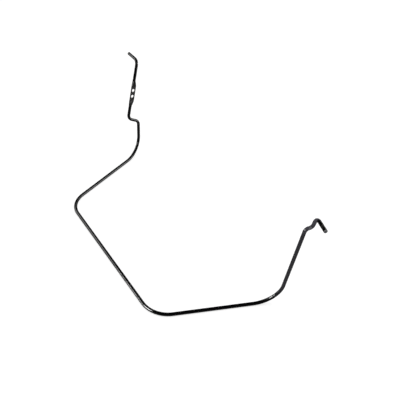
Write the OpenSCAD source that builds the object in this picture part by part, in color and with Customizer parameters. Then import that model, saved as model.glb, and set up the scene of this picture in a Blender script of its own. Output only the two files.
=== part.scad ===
// Auger bail: one steel rod, bent cold into a hand lever that hangs from two end pins and pulls
// one cable. It rests here on its grip, with both arms up. X runs along the pins, +Y is the side
// of the arms, and the origin is on the floor, midway between the pins and at half the depth.

/* [Rod] */
// Diameter of the round steel rod
rod_d = 6.35; // [5:0.05:8]
// Chamfer on the two cut ends of the rod
end_chamfer = 0.8; // [0.3:0.1:1.5]

/* [Arms] */
// Height of the pin centre line above the grip, measured along the arms
arm_h = 208; // [170:1:260]
// Angle by which the arms lean back from upright
arm_lean = 6; // [0:1:14]
// Distance between the two pin corners
pin_span = 558; // [520:1:620]
// Distance between the two feet of the arms
foot_span = 499; // [460:1:540]

/* [Grip] */
// Distance between the two corners of the crossbar
grip_w = 334; // [280:1:400]
// Distance from the feet of the arms to the crossbar
grip_depth = 200; // [160:1:240]

/* [Pins] */
// Length of the left pin from its corner to its end
left_pin = 37.5; // [30:0.5:50]
// Length of the right pin from its corner to its end
right_pin = 32.5; // [30:0.5:50]
// Angle by which the free right pin turns towards the crossbar
right_pin_turn = 18; // [0:1:24]

/* [Jogs] */
// Distance down the left arm from its pin to its jog
left_jog_drop = 123; // [118:1:135]
// Offset of the left jog towards the crossbar
left_jog_step = 24.5; // [18:0.5:30]
// Height that the rod loses in the left jog
left_jog_fall = 10; // [6:0.5:16]
// Distance down the right arm from its pin to its jog
right_jog_drop = 20.5; // [17:0.5:30]
// Offset of the right jog towards the crossbar
right_jog_step = 14.5; // [12:0.5:20]
// Height that the rod loses in the right jog, where less than 0 is a rise
right_jog_fall = -1; // [-3:0.5:4]

/* [Bends] */
// Centre-line radius of the two pin corners
pin_bend_r = 11.5; // [9:0.5:12.5]
// Centre-line radius of the two bends of the left jog
left_jog_bend_r = 11; // [8:0.5:12]
// Centre-line radius of the two tight bends of the right jog
right_jog_bend_r = 5; // [4:0.1:6]
// Centre-line radius of the two feet of the arms
foot_bend_r = 48; // [30:1:60]
// Centre-line radius of the two crossbar corners
grip_bend_r = 51; // [30:1:70]

/* [Cable paddle] */
// Distance down the left arm from its pin corner to the middle of the paddle
paddle_at = 69.85; // [64:0.05:74]
// Thickness of the pressed paddle
paddle_t = 3; // [2.4:0.1:4]
// Width of the pressed paddle
paddle_w = 10.2; // [9.8:0.1:12]
// Offset of the paddle from the middle of the rod, away from the crossbar
paddle_shift = 1.3; // [0:0.1:1.5]
// Length of the paddle at its full width
paddle_flat = 28; // [22:1:30]
// Length of each blend from the paddle back to the round rod
paddle_blend = 16; // [9:0.5:16]
// Diameter of the two cable holes
cable_hole_d = 6.6; // [4:0.1:7.4]
// Distance between the two cable holes
cable_hole_pitch = 12.7; // [10:0.1:15]

/* [Press marks] */
// Distance from the end of the right pin to the shoulder of its catch
catch_at = 13.7; // [10:0.1:16]
// Length of the catch, which runs out towards the end of the pin
catch_len = 6.2; // [4:0.1:8]
// Depth of the catch at its shoulder
catch_depth = 0.85; // [0.4:0.05:0.9]
// Depth of the nick in the left pin corner
nick_depth = 0.9; // [0.3:0.05:1.2]
// Length of that nick along the rod
nick_len = 1.6; // [0.8:0.1:2.5]

/* [Hidden] */
$fn = 64;

rod_r = rod_d / 2;
// Bending the rod or pressing its end draws it this much thinner, on its radius
cold_draw = 0.02;
// A bend laps this far into the straight on each side of it
bend_lap = 0.4;
// Half the length of the pressed stretch, with its blends
paddle_half = paddle_flat / 2 + paddle_blend;
// Steps in each blend of the paddle
blend_steps = 8;
// The press starts this far outside the round rod, so that its faces cut in cleanly
press_lead = 0.2;
// A cut reaches this far past the surface that it leaves
past = 2;
// The catch is on the back of its pin, turned up by this angle
catch_turn = 30;
// The nick is this far round the corner from its arm end, and turned this far from the outside to the back
nick_turn = 19;
nick_roll = 55;
// The middle of the depth, from the crossbar to the back of the arms, is the origin
mid_y = (arm_h * sin(arm_lean) - grip_depth) / 2;
paint = [0.05, 0.05, 0.055];

function unit(v) = v / norm(v);

// Half the distance between the arms at a height h above the grip
function half_span(h) = (foot_span + (pin_span - foot_span) * h / arm_h) / 2;

// A point on an arm: side is -1 on the left, h the height along the arms, q the step to the crossbar
function on_arm(side, h, q) = [
    side * half_span(h),
    h * sin(arm_lean) - q * cos(arm_lean) - mid_y,
    h * cos(arm_lean) + q * sin(arm_lean) + rod_r
];

function on_grip(side) = [side * grip_w / 2, -grip_depth - mid_y, rod_r];

// The way of the right pin, which turns from the pins' axis towards the crossbar
right_pin_way = cos(right_pin_turn) * [1, 0, 0]
    + sin(right_pin_turn) * [0, -cos(arm_lean), sin(arm_lean)];

// Corners of the rod's centre line from the left tip to the right tip, each with its bend radius
corners = [
    [on_arm(-1, arm_h, 0) - [left_pin, 0, 0], 0],
    [on_arm(-1, arm_h, 0), pin_bend_r],
    [on_arm(-1, arm_h - left_jog_drop, left_jog_step), left_jog_bend_r],
    [on_arm(-1, arm_h - left_jog_drop - left_jog_fall, 0), left_jog_bend_r],
    [on_arm(-1, 0, 0), foot_bend_r],
    [on_grip(-1), grip_bend_r],
    [on_grip(1), grip_bend_r],
    [on_arm(1, 0, 0), foot_bend_r],
    [on_arm(1, arm_h - right_jog_drop - right_jog_fall, right_jog_step), right_jog_bend_r],
    [on_arm(1, arm_h - right_jog_drop, 0), right_jog_bend_r],
    [on_arm(1, arm_h, 0), pin_bend_r],
    [on_arm(1, arm_h, 0) + right_pin * right_pin_way, 0]
];
// Straight i runs from corner i to the next one, and a bend sits at every corner but the two tips
left_corner = 1;
left_arm = 1;
last_straight = len(corners) - 2;

function spot(i) = corners[i][0];
function radius(i) = corners[i][1];
function run(i) = spot(i + 1) - spot(i);
function way(i) = unit(run(i));
function turn(i) = acos(way(i - 1) * way(i));
function bend_axis(i) = unit(cross(way(i - 1), way(i)));

// What a bend takes from the straights on each side of its corner
function trim(i) = radius(i) == 0 ? 0 : radius(i) * tan(turn(i) / 2);
function straight_length(i) = norm(run(i)) - trim(i) - trim(i + 1);

// Turn about the rod from the plane of one bend to the plane of the next
function roll(i) =
    i == 0 || i == last_straight ? 0
    : atan2(cross(bend_axis(i), bend_axis(i + 1)) * way(i), bend_axis(i) * bend_axis(i + 1));

// Each straight starts at the origin and runs up Z, and the bend after it turns from Z towards X.
// A stretch of the rod places its children, the rest of the rod, at its own far end
module cut_end() {
    cylinder(r1 = rod_r - end_chamfer, r2 = rod_r, h = end_chamfer);
    translate([0, 0, end_chamfer])
        children();
}

module round_rod(length) {
    cylinder(r = rod_r, h = length);
    translate([0, 0, length])
        children();
}

// A bend laps a little way into the straights on both sides
module arc(i) {
    lap = bend_lap / radius(i) * 180 / PI;
    rotate([0, 0, -lap])
        rotate_extrude(angle = turn(i) + 2 * lap)
            translate([radius(i), 0])
                circle(r = rod_r - cold_draw);
}

module nicked_arc(i) {
    difference() {
        arc(i);
        rotate([0, 0, turn(i) - nick_turn])
            translate([radius(i), 0, 0])
                rotate([0, -nick_roll, 0])
                    translate([rod_r - nick_depth, -nick_len / 2, -rod_d])
                        cube([nick_depth + past, nick_len, 2 * rod_d]);
    }
}

module bent_rod(i) {
    translate([radius(i), 0, 0]) {
        rotate([90, 0, 180])
            if (i == left_corner)
                nicked_arc(i);
            else
                arc(i);
        rotate([0, turn(i), 0])
            translate([-radius(i), 0, 0])
                children();
    }
}

// The paddle is pressed flat in the plane of the jog below it, whose first bend turns to the back, +X
function ease(t) = t * t * (3 - 2 * t);
function blend_between(wide, narrow, k) = wide + (narrow - wide) * ease(k / blend_steps);

// Half outline along the paddle, of a size that is wide along the flat and narrow at both ends
function half_outline(wide, narrow) = [
    for (side = [-1, 1])
        for (k = side < 0 ? [blend_steps:-1:0] : [0:blend_steps])
            [blend_between(wide, narrow, k),
             paddle_half + side * (paddle_flat / 2 + k * paddle_blend / blend_steps)]
];

module pressed_faces() {
    front = half_outline(paddle_t / 2, rod_r + press_lead);
    back = [for (k = [len(front) - 1:-1:0]) [-front[k][0], front[k][1]]];
    rotate([90, 0, 90])
        linear_extrude(height = 2 * paddle_w, center = true)
            polygon(concat(front, back));
}

// Most of the metal spreads to the back, and the die keeps the edge towards the crossbar nearly straight
module front_edge() {
    reach = half_outline(paddle_w / 2 - paddle_shift, rod_r + press_lead);
    edge = [for (k = [len(reach) - 1:-1:0]) [-reach[k][0], reach[k][1]]];
    rotate([90, 0, 0])
        linear_extrude(height = 2 * rod_d, center = true)
            polygon(concat([[paddle_w, 0], [paddle_w, 2 * paddle_half]], edge));
}

module paddle() {
    back_reach = half_outline(paddle_w / 2 + paddle_shift, rod_r);
    difference() {
        intersection() {
            rotate_extrude()
                polygon(concat([[0, 0]], back_reach, [[0, 2 * paddle_half]]));
            pressed_faces();
            front_edge();
        }
        for (side = [-1, 1])
            translate([paddle_shift, 0, paddle_half + side * cable_hole_pitch / 2])
                rotate([90, 0, 0])
                    cylinder(d = cable_hole_d, h = 2 * paddle_t, center = true);
    }
    translate([0, 0, 2 * paddle_half])
        children();
}

// The catch is a ramp sunk into the back of the right pin, deepest at its shoulder
module catch_end() {
    end_r = rod_r - cold_draw;
    difference() {
        cylinder(r = end_r, h = catch_at - end_chamfer);
        rotate([90, 0, 90 + catch_turn])
            linear_extrude(height = 2 * rod_d, center = true)
                polygon([
                    [rod_r - catch_depth, -past],
                    [rod_r - catch_depth, 0],
                    [rod_r, catch_len],
                    [rod_r + past, catch_len],
                    [rod_r + past, -past]]);
    }
    translate([0, 0, catch_at - end_chamfer])
        cylinder(r1 = end_r, r2 = rod_r - end_chamfer, h = end_chamfer);
}

// The rod is built from its left tip on, and each stretch carries all that follow it
module rod_from(i) {
    length = straight_length(i);
    above_paddle = paddle_at - paddle_half - trim(left_arm);
    rotate([0, 0, roll(i)])
        if (i == 0)
            cut_end()
                round_rod(length - end_chamfer)
                    onward(i);
        else if (i == left_arm)
            round_rod(above_paddle)
                paddle()
                    round_rod(length - above_paddle - 2 * paddle_half)
                        onward(i);
        else if (i == last_straight)
            round_rod(length - catch_at)
                catch_end();
        else
            round_rod(length)
                onward(i);
}

module onward(i) {
    bent_rod(i + 1)
        rod_from(i + 1);
}

// Places the rod's left tip, its run along the first straight and the plane of its first bend
start_y = bend_axis(1);
start_x = cross(start_y, way(0));
at_left_tip = [
    [start_x[0], start_y[0], way(0)[0], spot(0)[0]],
    [start_x[1], start_y[1], way(0)[1], spot(0)[1]],
    [start_x[2], start_y[2], way(0)[2], spot(0)[2]],
    [0, 0, 0, 1]
];

module auger_bail() {
    color(paint)
        multmatrix(at_left_tip)
            rod_from(0);
}

auger_bail();
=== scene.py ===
import math

import bpy
from mathutils import Matrix, Vector


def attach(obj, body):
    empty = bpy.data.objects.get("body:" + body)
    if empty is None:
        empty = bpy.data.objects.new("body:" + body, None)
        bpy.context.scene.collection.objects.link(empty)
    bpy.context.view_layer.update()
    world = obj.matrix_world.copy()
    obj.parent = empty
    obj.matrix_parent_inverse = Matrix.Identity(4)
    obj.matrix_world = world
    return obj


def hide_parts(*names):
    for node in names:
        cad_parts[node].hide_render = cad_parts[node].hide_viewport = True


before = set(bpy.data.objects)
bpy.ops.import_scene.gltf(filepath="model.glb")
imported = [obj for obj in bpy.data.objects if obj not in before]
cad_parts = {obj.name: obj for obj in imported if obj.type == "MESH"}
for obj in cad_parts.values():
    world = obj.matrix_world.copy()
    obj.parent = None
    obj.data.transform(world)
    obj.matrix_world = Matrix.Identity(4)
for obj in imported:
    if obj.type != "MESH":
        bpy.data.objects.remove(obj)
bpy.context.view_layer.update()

# The rod, from tip to tip
# The whole bail is one length of quarter inch round steel, cut with chamfered ends and bent cold at
# ten corners: a pin, an arm with a jog, the flat grip, the other arm with its jog, and a pin again.
mm = 0.001
rod_r = 3.175 * mm
end_chamfer = 0.8 * mm

arm_h = 208 * mm
arm_lean = math.radians(6)
pin_span = 558 * mm
foot_span = 499 * mm
grip_w = 334 * mm
grip_depth = 200 * mm

left_pin = 37.5 * mm
right_pin = 32.5 * mm
right_pin_turn = math.radians(18)

left_jog_drop = 123 * mm
left_jog_step = 24.5 * mm
left_jog_fall = 10 * mm
right_jog_drop = 20.5 * mm
right_jog_step = 14.5 * mm
right_jog_fall = -1 * mm

pin_bend_r = 11.5 * mm
left_jog_bend_r = 11 * mm
right_jog_bend_r = 5 * mm
foot_bend_r = 48 * mm
grip_bend_r = 51 * mm

mid_y = (arm_h * math.sin(arm_lean) - grip_depth) / 2


def on_arm(side, height, step):
    """A point on an arm: side is -1 on the left, step is how far it stands off to the crossbar."""
    half_span = (foot_span + (pin_span - foot_span) * height / arm_h) / 2
    return Vector((
        side * half_span,
        height * math.sin(arm_lean) - step * math.cos(arm_lean) - mid_y,
        height * math.cos(arm_lean) + step * math.sin(arm_lean) + rod_r,
    ))


def on_grip(side):
    return Vector((side * grip_w / 2, -grip_depth - mid_y, rod_r))


right_pin_way = Vector((
    math.cos(right_pin_turn),
    -math.sin(right_pin_turn) * math.cos(arm_lean),
    math.sin(right_pin_turn) * math.sin(arm_lean),
))
left_jog_end = left_jog_drop + left_jog_fall
right_jog_end = right_jog_drop + right_jog_fall

# Each corner of the centre line with its bend radius, from the left tip to the right tip
corners = [
    (on_arm(-1, arm_h, 0) - Vector((left_pin, 0, 0)), 0),
    (on_arm(-1, arm_h, 0), pin_bend_r),
    (on_arm(-1, arm_h - left_jog_drop, left_jog_step), left_jog_bend_r),
    (on_arm(-1, arm_h - left_jog_end, 0), left_jog_bend_r),
    (on_arm(-1, 0, 0), foot_bend_r),
    (on_grip(-1), grip_bend_r),
    (on_grip(1), grip_bend_r),
    (on_arm(1, 0, 0), foot_bend_r),
    (on_arm(1, arm_h - right_jog_end, right_jog_step), right_jog_bend_r),
    (on_arm(1, arm_h - right_jog_drop, 0), right_jog_bend_r),
    (on_arm(1, arm_h, 0), pin_bend_r),
    (on_arm(1, arm_h, 0) + right_pin * right_pin_way, 0),
]
straights = range(len(corners) - 1)
left_arm = 1
last_straight = straights[-1]


def way(i):
    return (corners[i + 1][0] - corners[i][0]).normalized()


def bend_turn(i):
    return way(i - 1).angle(way(i))


def bend_axis(i):
    return way(i - 1).cross(way(i)).normalized()


def trim(i):
    """What the bend at corner i takes from the straight on each side of it."""
    return corners[i][1] * math.tan(bend_turn(i) / 2) if corners[i][1] else 0


# The pressed paddle and the other press marks
# A die presses a stretch of the left arm flat, in the plane of the jog, and two holes are drilled
# through it for the cable. A chisel leaves the catch in the right pin and the nick in the corner.
paddle_at = 69.85 * mm
paddle_t = 3 * mm
paddle_w = 10.2 * mm
paddle_shift = 1.3 * mm
paddle_flat = 28 * mm
paddle_blend = 16 * mm
paddle_half = paddle_flat / 2 + paddle_blend
edge_softness = 0.6 * mm

cable_hole_r = 3.3 * mm
cable_hole_pitch = 12.7 * mm
hole_rim_r = 0.25 * mm

catch_at = 13.7 * mm
catch_len = 6.2 * mm
catch_depth = 0.85 * mm
catch_turn = math.radians(120)
nick_depth = 0.9 * mm
nick_len = 1.6 * mm
nick_turn = math.radians(19)
nick_roll = math.radians(55)
wall_len = 0.08 * mm
no_cut = 1.0

# How far the steel was worked, next to 0 on the plain rod and 1 where it is pressed flat
chiselled = 0.6
cut_through = 2.0

# The cut ends: distance from the tip and how far the surface lies under the round of the rod
end_len = 2 * mm
end_rings = [
    (0, end_chamfer + 0.12 * mm),
    (0.04 * mm, end_chamfer - 0.02 * mm),
    (0.14 * mm, end_chamfer - 0.14 * mm),
    (end_chamfer - 0.1 * mm, 0.12 * mm),
    (end_chamfer + 0.03 * mm, 0.03 * mm),
    (end_chamfer + 0.2 * mm, 0),
]


def ease(t):
    t = min(max(t, 0), 1)
    return t * t * (3 - 2 * t)


def ring(spine, along, across, **shape):
    """One ring of the rod: its place, the way it faces, and how it was pressed and cut."""
    return dict(
        {"spine": spine, "along": along, "across": across, "half_width": rod_r, "shift": 0.0,
         "half_thick": rod_r + edge_softness, "cut_way": across, "cut_at": no_cut, "worked": 0.0},
        **shape,
    )


def spread(start, end, step):
    """Evenly spaced distances from start to end, no further apart than step."""
    count = max(1, math.ceil((end - start) / step - 1e-6))
    return [start + (end - start) * k / count for k in range(count + 1)]


def paddle_shape(distance):
    """The width and thickness of the rod at this distance from the middle of the paddle."""
    blend = ease((abs(distance) - paddle_flat / 2) / paddle_blend)
    return {
        "half_width": paddle_w / 2 + (rod_r - paddle_w / 2) * blend,
        "shift": paddle_shift * (1 - blend),
        "half_thick": paddle_t / 2 + (rod_r + edge_softness - paddle_t / 2) * blend,
        "worked": 1 - blend,
    }


def straight_rings(i, across):
    start = corners[i][0] + trim(i) * way(i)
    length = (corners[i + 1][0] - corners[i][0]).length - trim(i) - trim(i + 1)
    plain_step = 9 * mm
    fine_step = 0.5 * mm
    rows = []
    if i == 0:
        rows += [(d, {"half_width": rod_r - under, "worked": cut_through})
                 for d, under in end_rings]
        rows += [(d, {}) for d in spread(end_len, length, plain_step)]
    elif i == left_arm:
        middle = paddle_at - trim(i)
        rows += [(d, {}) for d in spread(0, middle - paddle_half - fine_step, plain_step)]
        rows += [(d, paddle_shape(d - middle))
                 for d in spread(middle - paddle_half, middle + paddle_half, fine_step)]
        rows += [(d, {}) for d in spread(middle + paddle_half + fine_step, length, plain_step)]
    elif i == last_straight:
        shoulder = length - catch_at
        sideways = bend_axis(i).cross(way(i))
        cut_way = math.cos(catch_turn) * sideways + math.sin(catch_turn) * bend_axis(i)
        rows += [(d, {}) for d in spread(0, shoulder, plain_step)]
        for d in spread(0, catch_len, fine_step):
            depth = catch_depth * (1 - d / catch_len)
            shape = {"cut_way": cut_way, "cut_at": rod_r - depth, "worked": chiselled}
            rows.append((shoulder + max(d, wall_len), shape))
        past_catch = shoulder + catch_len + fine_step
        rows += [(d, {}) for d in spread(past_catch, length - end_len, plain_step)]
        rows += [(length - d, {"half_width": rod_r - under, "worked": cut_through})
                 for d, under in reversed(end_rings)]
    else:
        rows += [(d, {}) for d in spread(0, length, plain_step)]
    return [ring(start + d * way(i), way(i), across, **shape) for d, shape in rows]


def bend_rings(i, across):
    """The rings of the bend at corner i, without the two that its straights already have."""
    radius = corners[i][1]
    inward = bend_axis(i).cross(way(i - 1))
    middle = corners[i][0] - trim(i) * way(i - 1) + radius * inward
    step = math.radians(3)
    stops = [(angle, {}) for angle in spread(0, bend_turn(i), step)[1:-1]]
    if i == 1:
        nick_at = bend_turn(i) - nick_turn
        half = nick_len / 2 / (radius + rod_r)
        wall = wall_len / radius
        cut = {"cut_at": rod_r - nick_depth, "worked": chiselled}
        stops = [s for s in stops if abs(s[0] - nick_at) > half + wall]
        stops += [(nick_at - half - wall, {}), (nick_at + half + wall, {})]
        stops += [(nick_at + k * half, cut) for k in (-1, -0.5, 0, 0.5, 1)]
        stops.sort(key=lambda s: s[0])
    rings = []
    for angle, shape in stops:
        turned = Matrix.Rotation(angle, 3, bend_axis(i))
        outward = turned @ -inward
        cut_way = math.cos(nick_roll) * outward + math.sin(nick_roll) * bend_axis(i)
        rings.append(ring(middle + radius * outward, turned @ way(i - 1), turned @ across,
                          **dict(shape, cut_way=cut_way)))
    return rings


# The paddle is as wide as it is in the plane of the jog, and that sets the first ring's turn
paddle_face = bend_axis(left_arm + 1)
paddle_across = paddle_face.cross(way(left_arm))
across = Matrix.Rotation(-bend_turn(1), 3, bend_axis(1)) @ paddle_across
rings = []
for i in straights:
    rings += straight_rings(i, across)
    if i != last_straight:
        rings += bend_rings(i + 1, across)
        across = Matrix.Rotation(bend_turn(i + 1), 3, bend_axis(i + 1)) @ across

path_mesh = bpy.data.meshes.new("rod_path")
path_mesh.from_pydata([r["spine"] for r in rings], [(k, k + 1) for k in range(len(rings) - 1)], [])
for name in ("spine", "along", "across", "cut_way"):
    values = path_mesh.attributes.new(name, "FLOAT_VECTOR", "POINT")
    values.data.foreach_set("vector", [x for r in rings for x in r[name]])
for name in ("half_width", "half_thick", "shift", "cut_at", "worked"):
    values = path_mesh.attributes.new(name, "FLOAT", "POINT")
    values.data.foreach_set("value", [r[name] for r in rings])
path = bpy.data.objects.new("rod_path", path_mesh)
bpy.context.scene.collection.objects.link(path)


# Drilling
# The two cable holes are drilled through the paddle after it is pressed. The drill leaves a
# straight wall, and the paint rounds the rim on both faces.
def new_tree(name, inputs):
    tree = bpy.data.node_groups.new(name, "GeometryNodeTree")
    tree.interface.new_socket("Geometry", in_out="INPUT", socket_type="NodeSocketGeometry")
    for label, kind in inputs:
        tree.interface.new_socket(label, in_out="INPUT", socket_type="NodeSocket" + kind)
    tree.interface.new_socket("Geometry", in_out="OUTPUT", socket_type="NodeSocketGeometry")
    return tree, tree.nodes.new("NodeGroupInput"), tree.nodes.new("NodeGroupOutput")


def find_input(node, key):
    """The input with this place in the list, or with this identifier or name."""
    if isinstance(key, int):
        return node.inputs[key]
    return next(s for s in node.inputs if key in (s.identifier, s.name))


def find_output(node, key):
    return next(s for s in node.outputs if key in (s.identifier, s.name))


def put(tree, kind, inputs, **settings):
    """Adds a node. Each input is a socket to link from, or a value to set."""
    node = tree.nodes.new(kind)
    for key, value in settings.items():
        setattr(node, key, value)
    for key, value in inputs.items():
        if isinstance(value, bpy.types.NodeSocket):
            tree.links.new(value, find_input(node, key))
        else:
            find_input(node, key).default_value = value
    return node


def vector_math(tree, operation, a, b=None, scale=None):
    inputs = {0: a}
    if b is not None:
        inputs[1] = b
    if scale is not None:
        inputs["Scale"] = scale
    node = put(tree, "ShaderNodeVectorMath", inputs, operation=operation)
    return node.outputs["Value" if operation in ("DOT_PRODUCT", "LENGTH") else "Vector"]


def math_node(tree, operation, *values):
    return put(tree, "ShaderNodeMath", dict(enumerate(values)), operation=operation).outputs[0]


drill, given, made = new_tree("drill a hole", [
    ("Middle", "Vector"), ("Way", "Vector"), ("Radius", "Float"), ("Rim Radius", "Float")])
place = put(drill, "GeometryNodeInputPosition", {}).outputs[0]
from_middle = vector_math(drill, "SUBTRACT", place, given.outputs["Middle"])
height = vector_math(drill, "DOT_PRODUCT", from_middle, given.outputs["Way"])
upright = vector_math(drill, "SCALE", given.outputs["Way"], scale=height)
flat = vector_math(drill, "SUBTRACT", from_middle, upright)
outward = vector_math(drill, "NORMALIZE", flat)
rim_edge = math_node(drill, "ADD", given.outputs["Radius"], given.outputs["Rim Radius"])
opened_to = math_node(drill, "ADD", rim_edge, given.outputs["Rim Radius"])
inside = math_node(drill, "LESS_THAN", vector_math(drill, "LENGTH", flat), opened_to)
opened = put(drill, "GeometryNodeDeleteGeometry",
             {"Geometry": given.outputs["Geometry"], "Selection": inside}, domain="FACE")
face_count = put(drill, "GeometryNodeInputMeshEdgeNeighbors", {}).outputs["Face Count"]
loop_edges = put(drill, "FunctionNodeCompare", {"A_INT": face_count, "B_INT": 1},
                 data_type="INT", operation="EQUAL").outputs[0]
to_rim = vector_math(drill, "ADD", upright, vector_math(drill, "SCALE", outward, scale=rim_edge))
on_rim = vector_math(drill, "ADD", given.outputs["Middle"], to_rim)
drilled = put(drill, "GeometryNodeSetPosition",
              {"Geometry": opened.outputs[0], "Selection": loop_edges, "Position": on_rim})

# The rim turns from the face into the wall in equal steps of angle, on both faces at once
rim_steps = 4
weld_gap = 0.005 * mm
into_wall = vector_math(drill, "SCALE", given.outputs["Way"],
                        scale=math_node(drill, "MULTIPLY", math_node(drill, "SIGN", height), -1.0))
wall, loop = drilled.outputs[0], loop_edges
for k in range(rim_steps):
    turned, next_turned = (math.radians(90) * n / rim_steps for n in (k, k + 1))
    closer = math_node(drill, "MULTIPLY", given.outputs["Rim Radius"],
                       math.sin(turned) - math.sin(next_turned))
    deeper = math_node(drill, "MULTIPLY", given.outputs["Rim Radius"],
                       math.cos(turned) - math.cos(next_turned))
    move = vector_math(drill, "ADD", vector_math(drill, "SCALE", outward, scale=closer),
                       vector_math(drill, "SCALE", into_wall, scale=deeper))
    step = put(drill, "GeometryNodeExtrudeMesh",
               {"Mesh": wall, "Selection": loop, "Offset": move, "Offset Scale": 1.0}, mode="EDGES")
    wall, loop = step.outputs["Mesh"], step.outputs["Top"]
to_middle = vector_math(drill, "SCALE", upright, scale=-1.0)
wall = put(drill, "GeometryNodeExtrudeMesh", {
    "Mesh": wall, "Selection": loop, "Offset": to_middle, "Offset Scale": 1.0}, mode="EDGES")
closed = put(drill, "GeometryNodeMergeByDistance", {
    "Geometry": wall.outputs["Mesh"], "Selection": wall.outputs["Top"], "Distance": weld_gap})
drill.links.new(closed.outputs[0], made.inputs[0])

# The bent rod as a tree: a ring of points follows the path, is pressed and cut, and is then drilled
rod_tree, given, made = new_tree("bent rod", [
    ("Steps Around", "Int"), ("Edge Softness", "Float"), ("Upper Hole", "Vector"),
    ("Lower Hole", "Vector"), ("Hole Way", "Vector"), ("Hole Radius", "Float"),
    ("Rim Radius", "Float"), ("Sharp Angle", "Float"), ("Paint", "Material")])


def path_value(name, data_type):
    node = put(rod_tree, "GeometryNodeInputNamedAttribute", {"Name": name}, data_type=data_type)
    return node.outputs[0]


circle = put(rod_tree, "GeometryNodeCurvePrimitiveCircle",
             {"Resolution": given.outputs["Steps Around"], "Radius": 1.0})
kept_circle = rod_tree.nodes.new("GeometryNodeCaptureAttribute")
kept_circle.capture_items.new("VECTOR", "Around")
rod_tree.links.new(circle.outputs["Curve"], kept_circle.inputs[0])
rod_tree.links.new(put(rod_tree, "GeometryNodeInputPosition", {}).outputs[0], kept_circle.inputs[1])
line = put(rod_tree, "GeometryNodeMeshToCurve", {"Mesh": given.outputs["Geometry"]})
swept = put(rod_tree, "GeometryNodeCurveToMesh",
            {"Curve": line.outputs[0], "Profile Curve": kept_circle.outputs[0], "Fill Caps": True})

around = put(rod_tree, "ShaderNodeSeparateXYZ", {0: kept_circle.outputs[1]})
half_width = path_value("half_width", "FLOAT")
shift = path_value("shift", "FLOAT")
wide = math_node(rod_tree, "MULTIPLY_ADD", half_width, around.outputs["X"], shift)
round_thick = math_node(rod_tree, "MULTIPLY", half_width, around.outputs["Y"])
pressed = math_node(rod_tree, "SMOOTH_MIN", math_node(rod_tree, "ABSOLUTE", round_thick),
                    path_value("half_thick", "FLOAT"), given.outputs["Edge Softness"])
thick = math_node(rod_tree, "MULTIPLY", pressed, math_node(rod_tree, "SIGN", round_thick))
width_way = path_value("across", "FLOAT_VECTOR")
thick_way = vector_math(rod_tree, "CROSS_PRODUCT", path_value("along", "FLOAT_VECTOR"), width_way)
from_spine = vector_math(rod_tree, "ADD", vector_math(rod_tree, "SCALE", width_way, scale=wide),
                         vector_math(rod_tree, "SCALE", thick_way, scale=thick))
cut_way = path_value("cut_way", "FLOAT_VECTOR")
reach = vector_math(rod_tree, "DOT_PRODUCT", from_spine, cut_way)
past_cut = math_node(rod_tree, "SUBTRACT", reach, path_value("cut_at", "FLOAT"))
over = math_node(rod_tree, "MAXIMUM", past_cut, 0.0)
cut_off = vector_math(rod_tree, "SCALE", cut_way, scale=over)
cut = vector_math(rod_tree, "SUBTRACT", from_spine, cut_off)
shaped = put(rod_tree, "GeometryNodeSetPosition", {
    "Geometry": swept.outputs[0],
    "Position": vector_math(rod_tree, "ADD", path_value("spine", "FLOAT_VECTOR"), cut)})

body = shaped.outputs[0]
for hole in ("Upper Hole", "Lower Hole"):
    drilled = put(rod_tree, "GeometryNodeGroup", {}, node_tree=drill)
    hole_inputs = {
        "Geometry": body, "Middle": given.outputs[hole], "Way": given.outputs["Hole Way"],
        "Radius": given.outputs["Hole Radius"], "Rim Radius": given.outputs["Rim Radius"]}
    for label, socket in hole_inputs.items():
        rod_tree.links.new(socket, drilled.inputs[label])
    body = drilled.outputs[0]

# The round of the rod is smooth, the cut ends are flat, and sharp edges stay sharp
fewest_cap_corners = 5
corner_count = put(rod_tree, "GeometryNodeInputMeshFaceNeighbors", {}).outputs["Vertex Count"]
not_cap = put(rod_tree, "FunctionNodeCompare", {"A_INT": corner_count, "B_INT": fewest_cap_corners},
              data_type="INT", operation="LESS_THAN").outputs[0]
smooth = put(rod_tree, "GeometryNodeSetShadeSmooth", {"Geometry": body, "Shade Smooth": not_cap})
edge_angle = put(rod_tree, "GeometryNodeInputMeshEdgeAngle", {}).outputs["Unsigned Angle"]
is_sharp = math_node(rod_tree, "GREATER_THAN", edge_angle, given.outputs["Sharp Angle"])
creased = put(rod_tree, "GeometryNodeSetShadeSmooth",
              {"Geometry": smooth.outputs[0], "Selection": is_sharp, "Shade Smooth": False},
              domain="EDGE")
real = put(rod_tree, "GeometryNodeRealizeInstances", {"Geometry": creased.outputs[0]})
painted = put(rod_tree, "GeometryNodeSetMaterial",
              {"Geometry": real.outputs[0], "Material": given.outputs["Paint"]})
rod_tree.links.new(painted.outputs[0], made.inputs[0])

# The paint
# Gloss black enamel, sprayed on bare steel. It has a faint orange peel and a little dust under the
# gloss, and it is duller and thinner where the press and the cutter left the steel rough.
paint = bpy.data.materials.new("gloss_black_paint")
paint.use_nodes = True
paint_tree = paint.node_tree
shader = paint_tree.nodes["Principled BSDF"]
shader.inputs["Metallic"].default_value = 0.0
shader.inputs["IOR"].default_value = 1.5


def paint_node(kind, inputs, **settings):
    return put(paint_tree, kind, inputs, **settings)


object_place = paint_node("ShaderNodeTexCoord", {}).outputs["Object"]
worked = paint_node("ShaderNodeAttribute", {}, attribute_name="worked").outputs["Fac"]
coat_clouds = paint_node("ShaderNodeTexNoise", {
    "Vector": object_place, "Scale": 45.0, "Detail": 3.0})
dust = paint_node("ShaderNodeTexNoise", {
    "Vector": object_place, "Scale": 1400.0, "Detail": 2.0})
scuffs = paint_node("ShaderNodeTexNoise", {
    "Vector": object_place, "Scale": 420.0, "Detail": 4.0, "Roughness": 0.6})
scuffed = math_node(paint_tree, "MULTIPLY", worked, scuffs.outputs["Fac"])

deep_black = (0.0008, 0.0008, 0.0010, 1)
hazy_black = (0.0022, 0.0022, 0.0026, 1)
thin_black = (0.040, 0.037, 0.036, 1)


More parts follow.
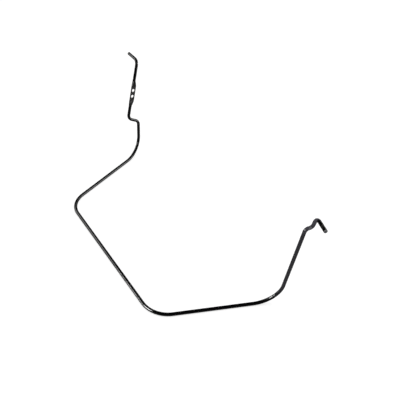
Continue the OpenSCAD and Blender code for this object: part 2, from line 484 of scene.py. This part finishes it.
def over_paint(share, under, top):
    """The colour under, covered by the colour on top in this share."""
    coat = paint_node("ShaderNodeMix", {
        "Factor_Float": share, "A_Color": under, "B_Color": top}, data_type="RGBA")
    return find_output(coat, "Result_Color")


cloudy = over_paint(coat_clouds.outputs["Fac"], deep_black, hazy_black)
black = over_paint(scuffed, cloudy, thin_black)

# The cutter left the two ends nearly bare
cut_grey = (0.13, 0.13, 0.135, 1)
bare = paint_node("ShaderNodeMapRange", {
    "Value": worked, "From Min": 1.0, "From Max": cut_through})
worn = over_paint(bare.outputs["Result"], black, cut_grey)

# Painted reflection: a grey sheen is painted on the right arm, strongest at its top bend and gone
# at its pin.
# Each step: an axis, where on it the painted reflection changes, and what it is multiplied by
# before and after.
painted_reflection_grey = (0.100, 0.097, 0.114, 1)
painted_reflection_steps = [
    ("X", 0.0, 0.1, 0.0, 1.0),
    ("X", 0.282, 0.287, 1.0, 0.0),
    ("Z", 0.015, 0.045, 0.0, 0.4),
    ("Z", 0.178, 0.188, 1.0, 1.55),
    ("Z", 0.193, 0.2, 1.0, 1.6),
]
painted_reflection_at = paint_node("ShaderNodeSeparateXYZ", {0: object_place}).outputs
painted_reflection = 1.0
for axis, start, end, before, after in painted_reflection_steps:
    part = paint_node("ShaderNodeMapRange", {
        "Value": painted_reflection_at[axis],
        "From Min": start, "From Max": end, "To Min": before, "To Max": after},
        interpolation_type="SMOOTHSTEP")
    painted_reflection = math_node(paint_tree, "MULTIPLY", part.outputs["Result"], painted_reflection)
# Painted reflection: the grey sheen is laid over the paint colour here.
with_painted_reflection = over_paint(painted_reflection, worn, painted_reflection_grey)
paint_tree.links.new(with_painted_reflection, shader.inputs["Base Color"])

# The gloss is a little uneven, and dull where the steel was worked
scuff_dulls = 0.30
least_rough = 0.09
most_rough = 0.15
gloss = paint_node("ShaderNodeMapRange", {
    "Value": coat_clouds.outputs["Fac"],
    "From Min": 0.3, "From Max": 0.7, "To Min": least_rough, "To Max": most_rough})
roughness = math_node(paint_tree, "MULTIPLY_ADD", scuffed, scuff_dulls, gloss.outputs["Result"])
paint_tree.links.new(roughness, shader.inputs["Roughness"])

dust_share = 0.15
scuff_lifts = 2.0
peel_depth = 0.03 * mm
peel = paint_node("ShaderNodeTexNoise", {
    "Vector": object_place, "Scale": 520.0, "Detail": 1.5})
grit = math_node(paint_tree, "MULTIPLY_ADD", dust.outputs["Fac"], dust_share, peel.outputs["Fac"])
rough_grit = math_node(paint_tree, "MULTIPLY_ADD", scuffed, scuff_lifts, grit)
surface = paint_node("ShaderNodeBump", {
    "Height": rough_grit, "Strength": 0.5, "Distance": peel_depth})
paint_tree.links.new(surface.outputs["Normal"], shader.inputs["Normal"])

# The finished bail takes the place of the plain solid
press = path.modifiers.new("press and drill", "NODES")
press.node_group = rod_tree
hole_middle = corners[left_arm][0] + paddle_at * way(left_arm) + paddle_shift * paddle_across
sizes = {
    "Steps Around": 96,
    "Edge Softness": edge_softness,
    "Upper Hole": hole_middle - cable_hole_pitch / 2 * way(left_arm),
    "Lower Hole": hole_middle + cable_hole_pitch / 2 * way(left_arm),
    "Hole Way": paddle_face,
    "Hole Radius": cable_hole_r,
    "Rim Radius": hole_rim_r,
    "Sharp Angle": math.radians(28),
    "Paint": paint,
}
for socket in rod_tree.interface.items_tree:
    if socket.in_out == "INPUT" and socket.name in sizes:
        press[socket.identifier] = sizes[socket.name]
pressed_rod = path.evaluated_get(bpy.context.evaluated_depsgraph_get())
bail_mesh = bpy.data.meshes.new_from_object(pressed_rod)
path.modifiers.remove(press)
bpy.data.objects.remove(path)
for name in ("spine", "along", "across", "cut_way", "half_width", "half_thick", "shift", "cut_at"):
    bail_mesh.attributes.remove(bail_mesh.attributes[name])
bail = bpy.data.objects.new("painted_rod", bail_mesh)
bpy.context.scene.collection.objects.link(bail)
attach(bail, "root")
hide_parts("auger_bail")


# The table
# A wide white table top, which keeps a faint shadow of the bail. The camera sees it white, and in
# the gloss of the bail it is bright at the back and dim on the side of the camera.
def light_path(tree, *kinds):
    """1 for the kinds of ray that are named, and 0 for all others."""
    rays = tree.nodes.new("ShaderNodeLightPath")
    seen = rays.outputs[kinds[0]]
    for kind in kinds[1:]:
        seen = math_node(tree, "MAXIMUM", seen, rays.outputs[kind])
    return seen


def flat_panel(name, points, material):
    mesh = bpy.data.meshes.new(name)
    mesh.from_pydata(points, [], [(0, 1, 2, 3)])
    mesh.materials.append(material)
    panel = bpy.data.objects.new(name, mesh)
    bpy.context.scene.collection.objects.link(panel)
    return panel


table_reach = 6.0
table_grey = (0.45, 0.45, 0.45, 1)
table_glow = 0.7
front_in_gloss = 0.16
back_in_gloss = 2.20

panel_corners = ((-1, -1), (1, -1), (1, 1), (-1, 1))
white_top = bpy.data.materials.new("white_table_top")
white_top.use_nodes = True
table_corners = [(x * table_reach, y * table_reach, 0) for x, y in panel_corners]
table = flat_panel("table_top", table_corners, white_top)

top_tree = white_top.node_tree
table_shader = top_tree.nodes["Principled BSDF"]
table_shader.inputs["Base Color"].default_value = table_grey
table_shader.inputs["Roughness"].default_value = 0.9
table_shader.inputs["Specular IOR Level"].default_value = 0.0
table_shader.inputs["Emission Color"].default_value = (1, 1, 1, 1)
seen_glow = math_node(
    top_tree, "MULTIPLY", light_path(top_tree, "Is Camera Ray", "Is Transmission Ray"), table_glow)
top_tree.links.new(seen_glow, table_shader.inputs["Emission Strength"])

table_place = put(top_tree, "ShaderNodeTexCoord", {}).outputs["Object"]
depth = put(top_tree, "ShaderNodeSeparateXYZ", {0: table_place}).outputs["Y"]
table_in_gloss = put(top_tree, "ShaderNodeMapRange", {
    "Value": depth,
    "From Min": 0.2, "From Max": 1.0, "To Min": front_in_gloss, "To Max": back_in_gloss},
    interpolation_type="SMOOTHSTEP")
gloss_glow = put(top_tree, "ShaderNodeEmission", {"Strength": table_in_gloss.outputs["Result"]})
table_mix = put(top_tree, "ShaderNodeMixShader", {
    0: light_path(top_tree, "Is Glossy Ray"), 1: table_shader.outputs[0], 2: gloss_glow.outputs[0]})
table_output = next(node for node in top_tree.nodes if node.bl_idname == "ShaderNodeOutputMaterial")
top_tree.links.new(table_mix.outputs[0], table_output.inputs["Surface"])

# The room and the lamps
# A room with soft plain light and a white back, which the camera sees. In the gloss it is dark,
# with soft boxes in front and on the left and lit walls at the back, as the black paint shows them.
room_dark = 0.01
soft_level = 0.55
world = bpy.data.worlds.new("dark_room")
bpy.context.scene.world = world
world.use_nodes = True
sky = world.node_tree
background = sky.nodes["Background"]
room = put(sky, "ShaderNodeMix", {
    "Factor_Float": light_path(sky, "Is Glossy Ray"), "A_Float": soft_level, "B_Float": room_dark})
strength = put(sky, "ShaderNodeMix", {
    "Factor_Float": light_path(sky, "Is Camera Ray", "Is Transmission Ray"),
    "A_Float": find_output(room, "Result_Float"), "B_Float": 1.0})
background.inputs["Color"].default_value = (1, 1, 1, 1)
sky.links.new(find_output(strength, "Result_Float"), background.inputs["Strength"])


def soft_box(name, middle, faces, width, height, brightness, in_gloss=True):
    """A lamp with its middle here, facing this way, and as bright as this, where white is 1.

    The boxes that show in the gloss give no other light, so the light on the colours stays plain.
    """
    lamp = bpy.data.lights.new(name, "AREA")
    lamp.shape = "RECTANGLE"
    lamp.size = width
    lamp.size_y = height
    lamp.energy = brightness * math.pi * width * height
    holder = bpy.data.objects.new(name, lamp)
    bpy.context.scene.collection.objects.link(holder)
    holder.location = middle
    holder.rotation_euler = Vector(faces).to_track_quat("-Z", "Y").to_euler()
    holder.visible_camera = False
    holder.visible_glossy = in_gloss
    holder.visible_diffuse = not in_gloss


# Where each box hangs, the way it faces, its width and height, and how bright it is
soft_box("top_fill", (0.25, 0.25, 2.6), (0, 0, -1), 2.4, 2.4, 1.6, in_gloss=False)
soft_box("front_left_box", (-0.9, -1.8, 1.1), (0, 1, 0), 1.8, 1.4, 3.3)
soft_box("front_low_strip", (-0.95, -1.78, 0.45), (0, 1, 0), 0.7, 0.2, 26.0)
soft_box("front_upper_box", (-0.34, -1.78, 1.35), (0, 1, 0), 0.92, 1.2, 31.0)
soft_box("left_box", (-1.8, -1.4, 1.0), (1, 0, 0), 0.8, 2.0, 2.6)
soft_box("left_upper_box", (-1.8, -0.6, 1.25), (1, 0, 0), 0.8, 1.5, 2.4)
soft_box("back_wall", (-0.35, 1.8, 1.1), (0, -1, 0), 2.4, 0.4, 2.6)
soft_box("back_low_wall", (0.2, 1.8, 0.45), (0, -1, 0), 0.8, 0.9, 1.5)
soft_box("back_right_wall", (1.2, 1.8, 0.65), (0, -1, 0), 1.2, 1.3, 5.6)


# The black cards
# Four cards covered in black flock stand near the bail. They show in its gloss only, and keep the
# right pin, the left pin's corner and the two foot bends black.
flock = bpy.data.materials.new("black_flock")
flock.use_nodes = True
flock_shader = flock.node_tree.nodes["Principled BSDF"]
flock_shader.inputs["Base Color"].default_value = (0.002, 0.002, 0.002, 1)
flock_shader.inputs["Specular IOR Level"].default_value = 0.0


def black_card(name, middle, faces, width, height):
    card_corners = [(x * width / 2, 0, z * height / 2) for x, z in panel_corners]
    card = flat_panel(name, card_corners, flock)
    card.location = middle
    card.rotation_euler = Vector(faces).to_track_quat("Y", "Z").to_euler()
    card.visible_camera = card.visible_transmission = False
    card.visible_diffuse = card.visible_shadow = False


# Where each card stands, the way it faces, and its width and height
black_card("right_pin_card", (0.17, 0.06, 0.27), (-1, 0, 0.35), 0.3, 0.3)
black_card("left_corner_card", (-0.27, 0.0, 0.31), (0, 1, 0), 0.16, 0.2)
black_card("left_foot_card", (-0.255, -0.1, 0.16), (0, 1, 0), 0.12, 0.13)
black_card("right_foot_card", (0.185, -0.05, 0.18), (0, 1, 0), 0.15, 0.17)

# The camera
# It stands at the front right of the bail and looks down on it, tilted a little to one side, as the
# photograph was taken.
camera = bpy.data.cameras.new("camera")
camera.sensor_width = 36
camera.lens = 54
camera_at = Vector((0.7255, -0.4019, 0.8083))
aim_at = Vector((0.0383, 0.0638, 0.0867))
camera_tilt = math.radians(1.93)
stand = bpy.data.objects.new("camera", camera)
bpy.context.scene.collection.objects.link(stand)
level = (aim_at - camera_at).to_track_quat("-Z", "Y").to_matrix()
tilted = level @ Matrix.Rotation(camera_tilt, 3, "Z")
stand.matrix_world = Matrix.Translation(camera_at) @ tilted.to_4x4()
bpy.context.scene.camera = stand
bpy.context.scene.view_settings.view_transform = "Standard"
